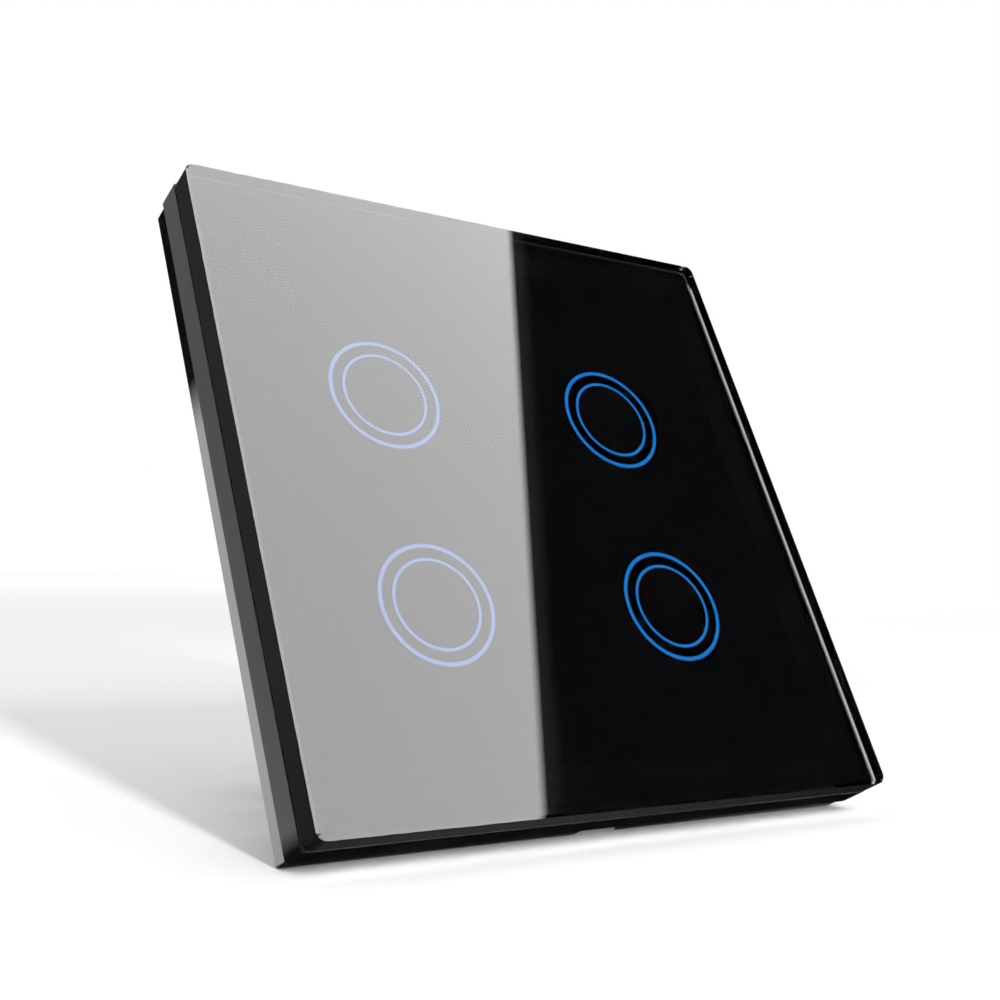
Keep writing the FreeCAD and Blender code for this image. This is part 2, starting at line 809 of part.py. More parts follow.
def edge_cuts(body):
    """Windows for the clips, and the notch in the bottom edge to lever the panel off."""
    half_x = size.clip_width / 2 + size.clip_window_fit
    half_z = size.clip_steel / 2 + size.clip_window_fit
    windows = about(four_places(size.clip_x, CLIP_Z), half_x, half_z)
    cut(body, RIM_FRONT, SKIN_REAR, rectangles, windows)
    half_notch = size.notch_width / 2
    low = -RIM_Z - size.notch_reach
    high = -RIM_Z + size.notch_reach
    cut(body, RIM_FRONT, WALL, rectangles, [(-half_notch, half_notch, low, high)])


def module_cover():
    """The light shade: a plate with one tube for each button."""
    half_x = LUG_X - size.tub_wall - size.cover_fit
    half_z = TUB_IN_Z - size.cover_step - size.cover_fit
    plate = brick(-half_x, half_x, COVER_FRONT, COVER_REAR, -half_z, half_z)
    lobe = LOBE_RADIUS - size.cover_fit
    lobes = [rod(x, z, COVER_FRONT, COVER_REAR, lobe) for x, z in BUTTONS]
    tubes = [rod(x, z, COVER_FRONT, TUBE_REAR, TUBE_RADIUS) for x, z in BUTTONS]
    bores = [rod(x, z, COVER_FRONT - PAST, TUBE_REAR + PAST, WINDOW_RADIUS) for x, z in BUTTONS]
    carve(fuse([plate] + lobes + tubes), bores, "module_cover")


def touch_board():
    """The front board, notched for the lugs and the screw posts."""
    fit = size.board_fit
    wide = TUB_IN_X - fit
    tall = TUB_IN_Z - fit
    post_z = POST_Z - size.post_radius - fit
    post_x = POST_X - size.post_radius - fit
    lug_x = LUG_X - size.tub_wall - fit
    lug_z = LUG_Z + size.tub_wall + fit
    fuse(
        [
            brick(-wide, wide, TOUCH_FRONT, TOUCH_REAR, lug_z, post_z),
            brick(-wide, wide, TOUCH_FRONT, TOUCH_REAR, -post_z, -lug_z),
            brick(-lug_x, lug_x, TOUCH_FRONT, TOUCH_REAR, -tall, tall),
            brick(-post_x, post_x, TOUCH_FRONT, TOUCH_REAR, lug_z, tall),
            brick(-post_x, post_x, TOUCH_FRONT, TOUCH_REAR, -tall, -lug_z),
        ],
        "touch_board",
    )


def ring_leds():
    """Four small lamps under each pair of rings."""
    ring = (size.outer_ring_radius + size.inner_ring_radius) / 2
    front = TOUCH_FRONT - size.led_height
    half_l = size.led_length / 2
    half_w = size.led_width / 2
    lamps = []
    for x, z in BUTTONS:
        for step in (-1, 1):
            side = x + ring * step
            upright = (side - half_w, side + half_w, front, TOUCH_FRONT, z - half_l, z + half_l)
            end = z + ring * step
            level = (x - half_l, x + half_l, front, TOUCH_FRONT, end - half_w, end + half_w)
            lamps += [brick(*upright), brick(*level)]
    fuse(lamps, "ring_leds")


def touch_parts():
    """The chip and the radio module on the back of the touch board."""
    half = size.touch_chip_side / 2
    chip_left = -size.touch_chip_left
    chip_right = chip_left + size.touch_chip_side
    chip_rear = TOUCH_REAR + size.touch_chip_height
    fuse([brick(chip_left, chip_right, TOUCH_REAR, chip_rear, -half, half)], "touch_chip")
    x0 = size.wifi_left
    x1 = x0 + size.wifi_width
    z0 = -size.wifi_length / 2
    z1 = size.wifi_length / 2
    wifi_rear = TOUCH_REAR + size.wifi_depth
    fuse([brick(x0, x1, TOUCH_REAR, wifi_rear, z0, z1)], "wifi_module")
    edge = size.shield_margin
    shield_rear = wifi_rear + size.shield_height
    shield_top = z1 - size.antenna_length
    fuse([brick(x0 + edge, x1 - edge, wifi_rear, shield_rear, z0 + edge, shield_top)], "wifi_shield")


def headers():
    """The plug-in joint: pins on the touch board's strip, in the power board's socket."""
    half_x = size.header_width / 2
    high = POST_Z - size.post_radius - size.header_from_post
    low = high - size.header_thick
    z = (low + high) / 2
    middle = (TOUCH_REAR + POWER_FRONT) / 2
    strip = brick(-half_x, half_x, TOUCH_REAR, middle, low, high)
    socket = brick(-half_x, half_x, middle, POWER_FRONT, low, high)
    half_pin = size.pin_side / 2
    half_hole = half_pin + size.fine_fit
    pin_rear = POWER_FRONT - size.pin_end_gap
    hole_rear = pin_rear + size.fine_fit
    pins = []
    holes = []
    for number in range(HEADER_PINS):
        x = size.pin_pitch * (number - (HEADER_PINS - 1) / 2)
        pins.append(brick(x - half_pin, x + half_pin, middle, pin_rear, z - half_pin, z + half_pin))
        sides = (x - half_hole, x + half_hole)
        holes.append(brick(*sides, middle - PAST, hole_rear, z - half_hole, z + half_hole))
    fuse([strip] + pins, "header_pins")
    carve(socket, holes, "header_socket")


def rear_housing():
    """A flange over the tub's open end and a box behind it, open where the terminals stand."""
    body = new_body("rear_housing")
    add(body, TUB_REAR, FLANGE_REAR, rounded_rectangle, TUB_X, TUB_Z, size.tub_corner)
    add(body, TUB_REAR, HOUSING_REAR, rounded_rectangle, HOUSE_X, TUB_Z, size.tub_corner)
    bevel(body, size.housing_bevel, at_depth(HOUSING_REAR))
    inner_rear = HOUSING_REAR - size.housing_wall
    hollow = (-HOUSE_IN_X, HOUSE_IN_X, -HOUSE_IN_Z, HOUSE_IN_Z)
    cut(body, TUB_REAR, inner_rear, rectangles, [hollow])
    cut(body, TUB_REAR, FLANGE_REAR, rectangles, lug_steps())
    screw_hole = size.housing_screw_radius + size.housing_screw_fit
    cut(body, TUB_REAR, FLANGE_REAR, circles, four_places(POST_X, POST_Z), screw_hole)
    clear = size.block_fit
    gate = (-BLOCK_X - clear, BLOCK_X + clear, -TUB_Z - PAST, BLOCK_TOP + clear)
    cut(body, BLOCK_FRONT - clear, HOUSING_REAR, rectangles, [gate])
    vents(body, inner_rear)
    board_holds(body, inner_rear)


def vents(body, inner_rear):
    """A row of air slots in the back wall, above the relays."""
    middle = HOUSE_IN_Z - size.vent_length
    half_w = size.vent_width / 2
    half_l = size.vent_length / 2
    slot_outline = (-half_w, half_w, middle - half_l, middle + half_l)
    each_way = (VENTS + 1) // 2
    slot = cut(body, inner_rear, HOUSING_REAR, rectangles, [slot_outline])
    for sign in (False, True):
        pattern = body.newObject("PartDesign::LinearPattern", "slots")
        pattern.Originals = [slot]
        pattern.Direction = (slot.Profile[0], ["H_Axis"])
        pattern.Reversed = sign
        pattern.Occurrences = each_way
        bind(pattern, "Length", size.vent_pitch * (each_way - 1))
        body.Tip = pattern
        doc.recompute([pattern])


def board_holds(body, inner_rear):
    """Corner posts behind the power board, and two lips that reach forward to the touch board."""
    post = size.housing_wall + size.board_fit
    sink = size.board_fit
    side = HOUSE_X - sink
    end = TUB_Z - sink
    upper_in = HOUSE_IN_X - post
    lower_in = BLOCK_X + size.block_fit
    post_z = HOUSE_IN_Z - post
    upper = [(upper_in, side, post_z, end), (-side, -upper_in, post_z, end)]
    lower = [(lower_in, side, -end, -post_z), (-side, -lower_in, -end, -post_z)]
    add(body, POWER_REAR, inner_rear, rectangles, upper + lower)
    lip_x = size.header_width / 2
    lip_out = TUB_IN_Z - size.board_fit / 2
    lips = [(-lip_x, lip_x, SHELF_Z, lip_out), (-lip_x, lip_x, -lip_out, -SHELF_Z)]
    add(body, TOUCH_REAR, POWER_FRONT, rectangles, lips)
    roots = [(-lip_x, lip_x, SHELF_Z, end), (-lip_x, lip_x, -end, -SHELF_Z)]
    add(body, TUB_REAR, POWER_FRONT, rectangles, roots)


def housing_screws():
    """Pan-head screws from the back of the flange into the tub's posts."""
    tip = FLANGE_REAR - size.housing_screw_length
    rear = FLANGE_REAR + size.housing_screw_head_depth
    recess = rear - size.cross_depth
    half = size.cross_width / 2
    reach = size.cross_reach
    screws = []
    for x, z in four_places(POST_X, POST_Z):
        shank = rod(x, z, tip, FLANGE_REAR, size.housing_screw_radius)
        head = rod(x, z, FLANGE_REAR, rear, size.housing_screw_head)
        level = brick(x - reach, x + reach, recess, rear + PAST, z - half, z + half)
        upright = brick(x - half, x + half, recess, rear + PAST, z - reach, z + reach)
        screws.append(carve(fuse([shank, head]), [level, upright]))
    fuse(screws, "housing_screws")


def power_board():
    """The rear board, on the housing's corner posts."""
    x = HOUSE_IN_X - size.board_fit
    z = HOUSE_IN_Z - size.board_fit
    fuse([brick(-x, x, POWER_FRONT, POWER_REAR, -z, z)], "power_board")


def relay_x(number):
    """The middle of one relay, left to right."""
    return size.relay_pitch * (number - (RELAYS + 1) / 2)


def relays():
    """Slim relays in a row: case, base, coil, yoke and contact, and the armature that moves."""
    half_x = size.relay_width / 2
    wall = size.relay_wall
    rear = POWER_REAR + size.relay_height
    base_rear = POWER_REAR + size.relay_base_depth
    in_x = half_x - wall - size.fine_fit
    in_low = RELAY_LOW + wall + size.fine_fit
    in_high = RELAY_TOP - wall - size.fine_fit
    yoke_low = in_low + size.yoke_set_in
    yoke_in = yoke_low + size.yoke_steel
    coil_z = yoke_in + size.coil_fit + size.coil_radius
    coil_top = coil_z + size.coil_radius
    coil_front = base_rear + size.yoke_steel
    coil_rear = coil_front + size.coil_height
    core_rear = coil_rear + size.core_proud
    armature_front = core_rear + size.armature_gap
    armature_rear = armature_front + size.armature_steel
    spring_front = armature_rear - size.contact_blade
    button_front = spring_front - size.contact_button
    blade_rear = button_front - size.contact_gap
    blade_front = blade_rear - size.contact_blade
    contact_z = in_high - size.contact_set_in
    post_low = in_high - size.contact_post
    steel = size.coil_radius
    blade = size.contact_half_width
    cases = []
    bases = []
    coils = []
    yokes = []
    contacts = []
    for number in range(1, RELAYS + 1):
        x = relay_x(number)
        shell = brick(x - half_x, x + half_x, POWER_REAR, rear, RELAY_LOW, RELAY_TOP)
        sides = (x - half_x + wall, x + half_x - wall)
        ends = (RELAY_LOW + wall, RELAY_TOP - wall)
        hollow = brick(*sides, POWER_REAR - PAST, rear - wall, *ends)
        cases.append(carve(shell, [hollow]))
        bases.append(brick(x - in_x, x + in_x, POWER_REAR, base_rear, in_low, in_high))
        winding = rod(x, coil_z, coil_front, coil_rear, size.coil_radius)
        bore = rod(x, coil_z, coil_front - PAST, coil_rear + PAST, size.core_radius)
        coils.append(carve(winding, [bore]))
        foot = brick(x - steel, x + steel, base_rear, coil_front, yoke_low, coil_top)
        leg_rear = armature_front - size.fine_fit
        leg = brick(x - steel, x + steel, base_rear, leg_rear, yoke_low, yoke_in)
        core = rod(x, coil_z, base_rear, core_rear, size.core_radius)
        yokes.append(fuse([foot, leg, core]))
        post = brick(x - blade, x + blade, base_rear, blade_rear, post_low, in_high)
        arm = brick(x - blade, x + blade, blade_front, blade_rear, contact_z - blade, in_high)
        contacts.append(fuse([post, arm]))
        plate = brick(x - steel, x + steel, armature_front, armature_rear, yoke_low, coil_top)
        ends = (coil_top - size.contact_blade, contact_z + blade)
        spring = brick(x - blade, x + blade, spring_front, armature_rear, *ends)
        button = rod(x, contact_z, button_front, armature_rear, blade)
        fuse([plate, spring, button], "relay_armature_%d" % number)
    fuse(cases, "relay_cases")
    fuse(bases, "relay_bases")
    fuse(coils, "relay_coils")
    fuse(yokes, "relay_yokes")
    fuse(contacts, "relay_contacts")
    return armature_front.number, (yoke_low + size.yoke_steel / 2).number


def supply_parts():
    """The small transformer and the two capacitors, above the relays."""
    z = SUPPLY_Z
    half = size.transformer_side / 2
    leg = size.core_leg
    window = size.core_window
    rear = POWER_REAR + size.transformer_height
    coil = (POWER_REAR + leg, rear - leg)
    shell = brick(-half, half, POWER_REAR, rear, z - half, z + half)
    upper = brick(-half - PAST, half + PAST, *coil, z + half - window, z + half + PAST)
    lower = brick(-half - PAST, half + PAST, *coil, z - half - PAST, z - half + window)
    carve(shell, [upper, lower], "transformer_core")
    top_winding = brick(leg - half, half - leg, *coil, z + half - window, z + half)
    low_winding = brick(leg - half, half - leg, *coil, z - half, z - half + window)
    fuse([top_winding, low_winding], "transformer_winding")
    can_x = half + size.board_fit + size.capacitor_radius
    can_rear = POWER_REAR + size.capacitor_height
    can = rod(can_x, z, POWER_REAR, can_rear, size.capacitor_radius)
    fuse([can], "electrolytic_capacitor")
    film_right = -half - size.board_fit
    film_left = film_right - size.film_capacitor_width
    deep = size.film_capacitor_depth / 2
    film_rear = POWER_REAR + size.film_capacitor_height
    film = brick(film_left, film_right, POWER_REAR, film_rear, z - deep, z + deep)
    fuse([film], "film_capacitor")


def mains_parts():
    """The fuse, the rectifier and the varistor, beside the relays."""
    right = relay_x(RELAYS) + size.relay_width / 2 + size.board_fit
    left = relay_x(1) - size.relay_width / 2 - size.board_fit
    fuse_y = POWER_REAR + size.fuse_radius
    fuse_x = right + size.fuse_radius
    link = bar_along("z", fuse_x, fuse_y, RELAY_Z, size.fuse_length, size.fuse_radius)
    fuse([link], "fuse")
    disc_y = POWER_REAR + size.varistor_radius
    disc_x = left - size.varistor_depth / 2
    disc = bar_along("x", disc_x, disc_y, RELAY_Z, size.varistor_depth, size.varistor_radius)
    fuse([disc], "varistor")
    side = size.rectifier_side
    high = RELAY_Z - size.fuse_length / 2 - size.board_fit
    rear = POWER_REAR + size.rectifier_height
    fuse([brick(right, right + side, POWER_REAR, rear, high - side, high)], "rectifier")


def terminal_x(number):
    """The middle of one terminal, left to right."""
    return size.terminal_pitch * (number - (TERMINALS + 1) / 2)


def terminal_block():
    """The block the wires go into from below, with a cage pocket and a screw bore for each."""
    body = new_body("terminal_block")
    foot_low = -HOUSE_IN_Z + size.block_fit
    add(body, BLOCK_FRONT, BLOCK_REAR, rectangles, [(-BLOCK_X, BLOCK_X, BLOCK_LOW, BLOCK_TOP)])
    add(body, POWER_REAR, BLOCK_FRONT, rectangles, [(-BLOCK_X, BLOCK_X, foot_low, BLOCK_TOP)])
    cage_x = size.cage_width / 2 + size.cage_fit
    entry_x = size.entry_width / 2
    bar_x = size.bar_width / 2 + size.fine_fit
    pocket_low = BLOCK_LOW + size.entry_depth
    pocket_top = CAGE_TOP + size.cage_fit
    middles = [terminal_x(number) for number in range(1, TERMINALS + 1)]
    pockets = [(x - cage_x, x + cage_x, pocket_low, pocket_top) for x in middles]
    cut(body, CAGE_FRONT - size.cage_fit, CAGE_END, rectangles, pockets)
    entries = [(x - entry_x, x + entry_x, BLOCK_LOW - PAST, pocket_low) for x in middles]
    cut(body, ENTRY_FRONT, ENTRY_FRONT + size.entry_height, rectangles, entries)
    slots = [(x - bar_x, x + bar_x, pocket_top, BLOCK_TOP + PAST) for x in middles]
    bar_front = BAR_REAR - size.bar_depth
    cut(body, bar_front - size.fine_fit, BAR_REAR + size.fine_fit, rectangles, slots)
    screws = [(x, SCREW_Z) for x in middles]
    cut(body, CAGE_END, BLOCK_REAR, circles, screws, size.screw_radius + size.head_fit)
    cut(body, HEAD_SEAT, BLOCK_REAR, circles, screws, size.head_radius + size.head_fit)


def terminal_bars():
    """One tinned bar for each terminal: across the cage, out of the block and down to the board."""
    half = size.bar_width / 2
    front = BAR_REAR - size.bar_depth
    bars = []
    for number in range(1, TERMINALS + 1):
        x = terminal_x(number)
        arm_top = BLOCK_TOP + size.bar_depth
        arm = brick(x - half, x + half, front, BAR_REAR, CAGE_LOW, arm_top)
        leg = brick(x - half, x + half, POWER_REAR, BAR_REAR, BLOCK_TOP, arm_top)
        bars.append(fuse([arm, leg]))
    fuse(bars, "terminal_bars")


def terminal_cages():
    """The square clamps that the screws draw up against the bars."""
    half = size.cage_width / 2
    half_in = half - size.cage_wall
    floor = CAGE_FRONT + size.cage_wall
    roof = CAGE_REAR - size.cage_roof
    bore = size.screw_radius + size.screw_fit
    for number in range(1, TERMINALS + 1):
        x = terminal_x(number)
        shell = brick(x - half, x + half, CAGE_FRONT, CAGE_REAR, CAGE_LOW, CAGE_TOP)
        ends = (CAGE_LOW - PAST, CAGE_TOP + PAST)
        window = brick(x - half_in, x + half_in, floor, roof, *ends)
        thread = rod(x, SCREW_Z, roof - PAST, CAGE_REAR + PAST, bore)
        carve(shell, [window, thread], "terminal_cage_%d" % number)


def terminal_screws():
    """Slotted screws, held in the block and threaded through the cages."""
    tip = CAGE_REAR - size.cage_roof + size.cage_fit
    head_rear = HEAD_SEAT + size.head_depth
    edge = size.screw_bevel
    profile = [
        (0, tip),
        (size.screw_radius - edge, tip),
        (size.screw_radius, tip + edge),
        (size.screw_radius, HEAD_SEAT),
        (size.head_radius, HEAD_SEAT),
        (size.head_radius, head_rear - edge),
        (size.head_radius - edge, head_rear),
        (0, head_rear),
    ]
    half = size.drive_slot / 2
    across = size.head_radius + PAST
    slot_front = head_rear - size.drive_slot_depth
    for number in range(1, TERMINALS + 1):
        body = new_body("terminal_screw_%d" % number)
        turn(body, profile)
        cut(body, slot_front, head_rear, rectangles, [(-across, across, -half, half)])
        move(body, terminal_x(number), SCREW_Z)


def biarc(start, start_way, end, end_way):
    """Two arcs that leave start along start_way and reach end along end_way, in space."""
    chord = end - start
    ways = start_way + end_way
    spread = 2 * (1 - start_way.dot(end_way))
    along = chord.dot(ways)
    reach = (math.sqrt(along * along + spread * chord.dot(chord)) - along) / spread
    joint = (start + end + (start_way - end_way) * reach) / 2
    return [arc(start, start_way, joint), arc(end, end_way * -1, joint)[::-1]]


def arc(start, way, end):
    """Three points of the arc that leaves start along way and ends at end."""
    chord = end - start
    line = FreeCAD.Vector(chord).normalize()
    lean = math.acos(max(-1.0, min(1.0, way.dot(line))))
    side = way - line * way.dot(line)
    middle = (start + end) / 2
    if side.Length > NEAR:
        radius = chord.Length / (2 * math.sin(lean))
        middle = middle + side.normalize() * (radius * (1 - math.cos(lean)))
    return [start, middle, end]


def spring_route():
    """The wire's route about the Y axis: straight foot, bend, coil, bend, straight tip."""
    radius = size.spring_radius.number
    wire = size.spring_wire.number
    turns = size.spring_turns.number
    front = GUIDE_REAR.number + size.spring_fit.number
    back = TOUCH_FRONT.number
    bend = 2 * wire
    coil_front = front + wire + bend
    coil_back = back - wire - bend
    pitch = (coil_back - coil_front) / turns
    rise = -pitch / (2 * math.pi * radius)
    ahead = FreeCAD.Vector(0, -1, 0)

    def on_coil(step):
        angle = step * math.pi / 2
        across, up = math.cos(angle), math.sin(angle)
        point = FreeCAD.Vector(radius * across, coil_back - pitch * step / 4, radius * up)
        return point, FreeCAD.Vector(-up, rise, across).normalize()

    steps = int(turns * 4)
    stations = [on_coil(step) for step in range(steps + 1)]
    first, first_way = stations[0]
    last, last_way = stations[-1]
    foot = FreeCAD.Vector(radius, back, -bend)
    foot_end = FreeCAD.Vector(radius, back - wire, -bend)
    flat = FreeCAD.Vector(last_way.x, 0, last_way.z).normalize()
    tip = last + flat * bend
    tip_start = FreeCAD.Vector(tip.x, front + wire, tip.z)
    tip_end = FreeCAD.Vector(tip.x, front, tip.z)
    runs = [[foot, foot_end]]
    runs += biarc(foot_end, ahead, first, first_way)
    for (start, way), (end, end_way) in zip(stations, stations[1:]):
        runs += biarc(start, way, end, end_way)
    runs += biarc(last, last_way, tip_start, ahead)
    runs.append([tip_start, tip_end])
    return runs


def least_gap(runs, wire):
    """The least clear distance between stretches of the route that aren't neighbours."""
    samples = []
    walked = 0.0
    for run in runs:
        edge = Part.LineSegment(*run) if len(run) == 2 else Part.Arc(*run)
        reach = edge.length()
        for step in range(SAMPLES):
            share = (step + 0.5) / SAMPLES
            where = edge.FirstParameter + (edge.LastParameter - edge.FirstParameter) * share
            samples.append((walked + reach * share, edge.value(where)))
        walked += reach
    apart = 4 * wire
    gaps = [
        first.distanceToPoint(second)
        for number, (near, first) in enumerate(samples)
        for far, second in samples[number + 1 :]
        if far - near > apart
    ]
    return min(gaps) - wire


def touch_springs():
    """Wound springs that join the touch board to the back of each button."""
    runs = spring_route()
    edges = []
    for run in runs:
        if len(run) == 2:
            edges.append(Part.LineSegment(*run).toShape())
        else:
            edges.append(Part.Arc(*run).toShape())
    path = Part.Wire(edges)
    wire = size.spring_wire.number
    section = Part.Wire([Part.Circle(runs[0][0], FreeCAD.Vector(0, -1, 0), wire / 2).toShape()])
    tube = path.makePipeShell([section], True, False)
    print("touch springs: least gap of a spring to itself %.3f mm" % least_gap(runs, wire))
    wanted = path.Length * math.pi * (wire / 2) ** 2
    print("touch springs: volume %.3f, section times length %.3f" % (tube.Volume, wanted))
    for number, (x, z) in enumerate(BUTTONS, start=1):
        spring = doc.addObject("Part::Feature", "touch_spring_%d" % number)
        spring.Label = "touch_spring_%d" % number
        spring.Shape = tube
        move(spring, x, z)
        nodes.append(spring)


def build():
    glass_panel()
    smoked_film()
    glass_tape()
    panel_frame()
    ring_light_guides()
    ring_masks()
    panel_clips()
    mounting_base()
    module_cover()
    touch_board()
    touch_springs()
    ring_leds()
    touch_parts()
    headers()
    rear_housing()
    housing_screws()
    power_board()
    pivot_y, pivot_z = relays()
    supply_parts()
    mains_parts()
    terminal_block()
    terminal_bars()
    terminal_cages()
    terminal_screws()
    doc.recompute()
    print("relay armature pivots: y %.3f, z %.3f" % (pivot_y, pivot_z))
    print("terminal screws: z %.3f, pitch %.3f" % (SCREW_Z.number, size.terminal_pitch.number))


def check():
    """Stop if anything failed to build."""
    for item in doc.Objects:
        if "Invalid" in item.State or "Error" in item.State:
            raise RuntimeError("%s is %s" % (item.Label, item.State))
    for node in nodes:
        shape = node.Shape
        if shape.isNull() or not shape.isValid() or not shape.Solids:
            raise RuntimeError("%s has no valid solid" % node.Label)


def write():
    """One STEP file for each piece."""
    os.makedirs("parts", exist_ok=True)
    for node in nodes:
        node.Shape.exportStep("parts/%s.step" % node.Label)
    print("%d pieces written" % len(nodes))


build()
check()
write()
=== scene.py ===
import math

import bpy
from mathutils import Matrix, Vector

MM = 0.001
X, Y, Z = 0, 1, 2

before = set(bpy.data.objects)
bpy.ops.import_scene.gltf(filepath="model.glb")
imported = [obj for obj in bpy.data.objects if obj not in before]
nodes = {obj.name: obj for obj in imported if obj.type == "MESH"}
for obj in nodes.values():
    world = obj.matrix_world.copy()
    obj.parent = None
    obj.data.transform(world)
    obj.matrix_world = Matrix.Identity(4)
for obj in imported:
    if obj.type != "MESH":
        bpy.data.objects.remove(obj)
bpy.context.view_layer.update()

# ---------------------------------------------------------------- node helpers

# Where a Mix node keeps its two inputs and its output
MIX_SOCKETS = {"FLOAT": (2, 3, 0), "RGBA": (6, 7, 2)}
CLOUDY = (0.35, 0.65)  # the part of a noise's values that a range is spread over


def link(tree, a, b):
    tree.links.new(a, b)


def feed(tree, socket, value):
    """Gives an input a number, a colour, a socket, or the socket that a function makes in the tree."""
    if callable(value):
        value = value(tree)
    if isinstance(value, bpy.types.NodeSocket):
        link(tree, value, socket)
    elif socket.type == "RGBA":
        socket.default_value = (*value, 1)
    else:
        socket.default_value = value


def new(tree, kind, **values):
    """A node with its properties and inputs. An input's name is written with _ for its spaces."""
    node = tree.nodes.new(kind)
    for key, value in values.items():
        if hasattr(node, key):
            setattr(node, key, value)
        else:
            feed(tree, node.inputs[key.replace("_", " ")], value)
    return node


def blank(name):
    material = bpy.data.materials.new(name)
    material.use_nodes = True
    tree = material.node_tree
    tree.nodes.clear()
    return material, tree, tree.nodes.new("ShaderNodeOutputMaterial").inputs["Surface"]


def object_place(tree):
    return tree.nodes.new("ShaderNodeTexCoord").outputs["Object"]


def place_along(tree, axis):
    split = tree.nodes.new("ShaderNodeSeparateXYZ")
    link(tree, object_place(tree), split.inputs[0])
    return split.outputs[axis]


def noise(tree, size_mm, detail=3.0, stretch=(1, 1, 1)):
    """Fractal noise with features of size_mm, fixed to the piece."""
    mapping = new(tree, "ShaderNodeMapping", Vector=object_place(tree), Scale=[1 / s for s in stretch])
    made = new(tree, "ShaderNodeTexNoise", Vector=mapping.outputs[0], Scale=1 / (size_mm * MM), Detail=detail)
    return made.outputs["Fac"]


def ramp(tree, value, low, high, at=CLOUDY, kind="LINEAR"):
    """A value turned into a range."""
    made = new(tree, "ShaderNodeMapRange", interpolation_type=kind, Value=value,
               From_Min=at[0], From_Max=at[1], To_Min=low, To_Max=high)
    return made.outputs["Result"]


def past(tree, axis, start_mm, end_mm):
    """0 before start and 1 past end along an axis of the piece."""
    return ramp(tree, place_along(tree, axis), 0, 1, (start_mm * MM, end_mm * MM))


def maths(tree, operation, *values):
    made = new(tree, "ShaderNodeMath", operation=operation)
    for socket, value in zip(made.inputs, values):
        feed(tree, socket, value)
    return made.outputs[0]


def blend(tree, factor, first, second, data_type="RGBA"):
    made = new(tree, "ShaderNodeMix", data_type=data_type)
    first_input, second_input, output = MIX_SOCKETS[data_type]
    feed(tree, made.inputs[first_input], first)
    feed(tree, made.inputs[second_input], second)
    feed(tree, made.inputs[0], factor)
    return made.outputs[output]


def clouded(tree, tone, dark, light):
    """A colour that wanders between two with a noise."""
    return blend(tree, ramp(tree, tone, 0, 1), dark, light)


def mix_shaders(tree, factor, first, second):
    made = tree.nodes.new("ShaderNodeMixShader")
    for socket, value in zip(made.inputs, (factor, first, second)):
        feed(tree, socket, value)
    return made.outputs[0]


def steps(tree, axis, levels, soft_mm):
    """From 0 through a row of levels along an axis, each (place in mm, number or socket)."""
    value = 0.0
    for place, level in levels:
        value = blend(tree, past(tree, axis, place - soft_mm, place + soft_mm), value, level, "FLOAT")
    return value


def softened(tree, radius_mm):
    """The normal with its edges rounded."""
    return new(tree, "ShaderNodeBevel", samples=4, Radius=radius_mm * MM).outputs[0]


def rubbed_edges(tree):
    """0 on the faces of the piece, and up to 0.8 in patches along its edges."""
    dot = new(tree, "ShaderNodeVectorMath", operation="DOT_PRODUCT")
    link(tree, softened(tree, 0.25), dot.inputs[0])
    link(tree, tree.nodes.new("ShaderNodeNewGeometry").outputs["Normal"], dot.inputs[1])
    on_edge = ramp(tree, dot.outputs["Value"], 1.0, 0.0, (0.85, 0.99))
    return maths(tree, "MULTIPLY", on_edge, ramp(tree, noise(tree, 1.5), 0, 0.8, (0.45, 0.6)))


def bumps(tree, shader, layers, normal=None):
    """Bump layers over a normal, each (height value, height in mm, strength)."""
    for value, height_mm, strength in layers:
        bump = new(tree, "ShaderNodeBump", Distance=height_mm * MM, Strength=strength, Height=value)
        if normal is not None:
            link(tree, normal, bump.inputs["Normal"])
        normal = bump.outputs[0]
    link(tree, normal, shader.inputs["Normal"])


def finish(name, dark, light, rough, grain_mm, grain_height_mm, cloud_mm=6, metallic=0.0, specular=0.5,
           rounding_mm=0.15, worn=None, stretch=(1, 1, 1)):
    """A surface with clouded colour, fine grain, uneven gloss and, where worn is given, paler edges."""
    material, tree, surface = blank(name)
    grain = noise(tree, grain_mm, 2.0, stretch)
    colour = clouded(tree, noise(tree, cloud_mm, 4.0, stretch), dark, light)
    if worn:
        colour = blend(tree, rubbed_edges(tree), colour, worn)
    shader = new(tree, "ShaderNodeBsdfPrincipled", Metallic=metallic, Specular_IOR_Level=specular,
                 Base_Color=colour, Roughness=ramp(tree, grain, *rough))
    bumps(tree, shader, [(grain, grain_height_mm, 0.6)], softened(tree, rounding_mm))
    link(tree, shader.outputs[0], surface)
    return material


def dress(names, material):
    for name in names:
        data = nodes[name].data
        data.materials.clear()
        data.materials.append(material)


def row(stem, count):
    return [f"{stem}_{k}" for k in range(1, count + 1)]


# ---------------------------------------------------------------- the glass front

GLASS_IOR = 1.5
ACRYLIC_IOR = 1.49
PRINTED_BACK = (-6.53, -6.51)  # y in mm
INK_COVER = 0.85
LIPS = (-3.8, -4.25)  # y in mm where a light guide starts to glow, and from where it fully does
RING_GLOW = 28.0
FRAME_FRONT = (-6.34, -6.31)
LEDGE_RIGHT = (42.45, 42.5)
LEDGE_TOP = (40.6, 40.8)
MATT, GLOSSY = 0.04, 0.5


